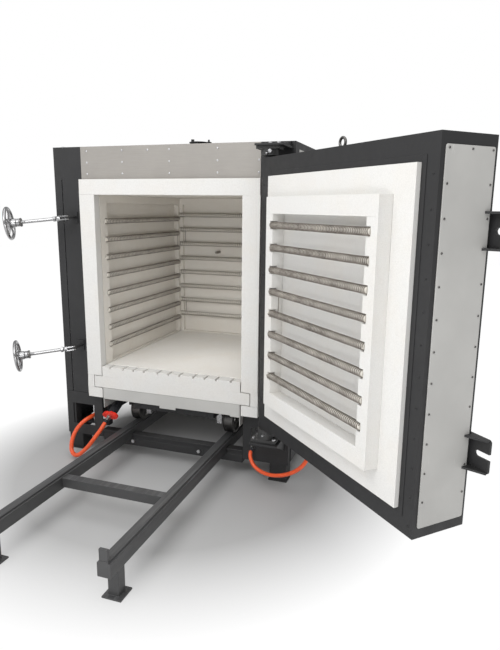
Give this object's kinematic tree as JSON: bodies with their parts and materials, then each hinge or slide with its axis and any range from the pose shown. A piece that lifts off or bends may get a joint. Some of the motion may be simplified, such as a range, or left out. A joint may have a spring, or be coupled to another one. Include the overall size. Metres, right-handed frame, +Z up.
{
  "type": "car kiln for pottery",
  "caption": "Front-loading electric pottery kiln with a swing door, clamping bolts and a brick-topped bogie that rolls out on floor rails.",
  "frame": {"origin": "floor level, at the middle of the chamber opening, in the steel front face of the casing", "axes": "+X to the kiln's right as seen from the front, -Y out of the chamber towards the front, +Z up"},
  "size_m": [2.6263, 2.674, 1.912],
  "materials": {
    "anthracite_paint": "fine-textured powder coat",
    "rail_paint": "satin grey paint",
    "header_steel": "dull warm-grey sheet",
    "panel_paint": "satin light-grey paint",
    "fire_brick": "matt porous insulating firebrick",
    "hearth_slab": "matt dense ceramic plate",
    "fibre_board": "soft matt fibre board",
    "element_wire": "oxidised resistance wire",
    "element_tube": "matt ceramic tube",
    "bright_steel": "bright zinc plate",
    "chrome_plate": "polished plate",
    "wheel_steel": "turned steel",
    "bearing_iron": "painted casting",
    "orange_cable": "satin cable sheath",
    "gland_metal": "nickel-plated gland",
    "plug_plastic": "dark moulded plastic",
    "red_latch": "bright red moulding"
  },
  "bodies": {
    "kiln": {"back_wall_bricks": "fire_brick", "backing_boards": "fibre_board", "base_frame": "anthracite_paint", "base_front_plates": "anthracite_paint", "bogie_cable": "orange_cable", "bolt_lugs": "anthracite_paint", "brick_collar": "fire_brick", "cable_glands": "gland_metal", "casing_fasteners": "bright_steel", "casing_panels": "anthracite_paint", "door_cable": "orange_cable", "element_terminals": "bright_steel", "feet": "anthracite_paint", "front_posts": "anthracite_paint", "header_sheet": "header_steel", "hinge_bearings": "bearing_iron", "hinge_brackets": "anthracite_paint", "left_wall_bricks": "fire_brick", "plug_body": "plug_plastic", "plug_gland": "gland_metal", "plug_socket": "plug_plastic", "rail_left": "rail_paint", "rail_right": "rail_paint", "rail_ties_and_stops": "rail_paint", "right_wall_bricks": "fire_brick", "roof_bricks": "fire_brick", "roof_vent": "anthracite_paint", "terminal_box": "anthracite_paint", "terminal_box_cover": "anthracite_paint", "thermocouple": "bright_steel", "wall_element_tubes": "element_tube", "wall_elements": "element_wire"},
    "door": {"door_hinge_arms": "anthracite_paint", "door_shell": "anthracite_paint", "door_edge_panel": "panel_paint", "door_insulation": "fibre_board", "door_pad": "fire_brick", "door_plug": "fire_brick", "door_element_tubes": "element_tube", "door_elements": "element_wire", "door_fasteners": "bright_steel", "latch_brackets": "anthracite_paint", "door_cable_gland": "gland_metal"},
    "bogie": {"bogie_tray": "panel_paint", "bogie_apron": "panel_paint", "hearth_bricks": "fire_brick", "hearth_elements": "element_wire", "hearth_slabs": "hearth_slab", "bogie_chassis": "anthracite_paint", "axle_bearings": "bright_steel"},
    "front_wheels": {"wheelset_front": "wheel_steel"},
    "rear_wheels": {"wheelset_rear": "wheel_steel"},
    "bolt_upper": {"swing_bolt_upper": "chrome_plate"},
    "bolt_lower": {"swing_bolt_lower": "chrome_plate"},
    "washer_upper": {"thrust_washer_upper": "chrome_plate"},
    "washer_lower": {"thrust_washer_lower": "chrome_plate"},
    "wheel_upper": {"handwheel_upper": "chrome_plate"},
    "wheel_lower": {"handwheel_lower": "chrome_plate"},
    "plug_wing": {"plug_latch": "red_latch"},
    "damper": {"vent_damper": "anthracite_paint"}
  },
  "joints": [
    {"name": "door_swing", "type": "hinge", "parent": "kiln", "child": "door", "pos_m": [0.6183, -0.1212, 1], "axis": [0, 0, 1], "range_deg": [-134.86, 0]},
    {"name": "bogie_roll", "type": "slide", "parent": "kiln", "child": "bogie", "axis": [0, -1, 0], "range_m": [0, 1.2]},
    {"name": "front_wheels_turn", "type": "hinge", "parent": "bogie", "child": "front_wheels", "pos_m": [0, 0.175, 0.275], "axis": [1, 0, 0], "range_deg": [0, 925]},
    {"name": "rear_wheels_turn", "type": "hinge", "parent": "bogie", "child": "rear_wheels", "pos_m": [0, 0.875, 0.275], "axis": [1, 0, 0], "range_deg": [0, 925]},
    {"name": "bolt_upper_swing", "type": "hinge", "parent": "kiln", "child": "bolt_upper", "pos_m": [-0.62, -0.084, 1.473], "axis": [-0.123, 0, 0.9924], "range_deg": [-27, 63.08]},
    {"name": "washer_upper_travel", "type": "slide", "parent": "bolt_upper", "child": "washer_upper", "axis": [0.8848, 0.4528, 0.1097], "range_m": [0, 0.0077]},
    {"name": "handwheel_upper_turn", "type": "hinge", "parent": "washer_upper", "child": "wheel_upper", "pos_m": [-0.62, -0.084, 1.473], "axis": [-0.8848, -0.4528, -0.1097], "range_deg": [0, 690]},
    {"name": "bolt_lower_swing", "type": "hinge", "parent": "kiln", "child": "bolt_lower", "pos_m": [-0.62, -0.084, 0.697], "axis": [-0.1282, 0, 0.9918], "range_deg": [-32, 57.42]},
    {"name": "washer_lower_travel", "type": "slide", "parent": "bolt_lower", "child": "washer_lower", "axis": [0.8357, 0.5385, 0.108], "range_m": [0, 0.0077]},
    {"name": "handwheel_lower_turn", "type": "hinge", "parent": "washer_lower", "child": "wheel_lower", "pos_m": [-0.62, -0.084, 0.697], "axis": [-0.8357, -0.5385, -0.108], "range_deg": [0, 690]},
    {"name": "plug_wing_turn", "type": "hinge", "parent": "kiln", "child": "plug_wing", "pos_m": [-0.415, -0.02958, 0.27256], "axis": [0, 0.9135, 0.4067], "range_deg": [0, 90]},
    {"name": "vent_damper_swing", "type": "hinge", "parent": "kiln", "child": "damper", "pos_m": [0.182, 0.14, 1.892], "axis": [0, 0, 1], "range_deg": [0, 100]}
  ],
  "couplings": [
    {"joint": "front_wheels_turn", "follows": "bogie_roll", "rad_per_m": 13.387},
    {"joint": "rear_wheels_turn", "follows": "bogie_roll", "rad_per_m": 13.387},
    {"joint": "washer_upper_travel", "follows": "handwheel_upper_turn", "m_per_rad": 0.00063662},
    {"joint": "washer_lower_travel", "follows": "handwheel_lower_turn", "m_per_rad": 0.00063662}
  ]
}
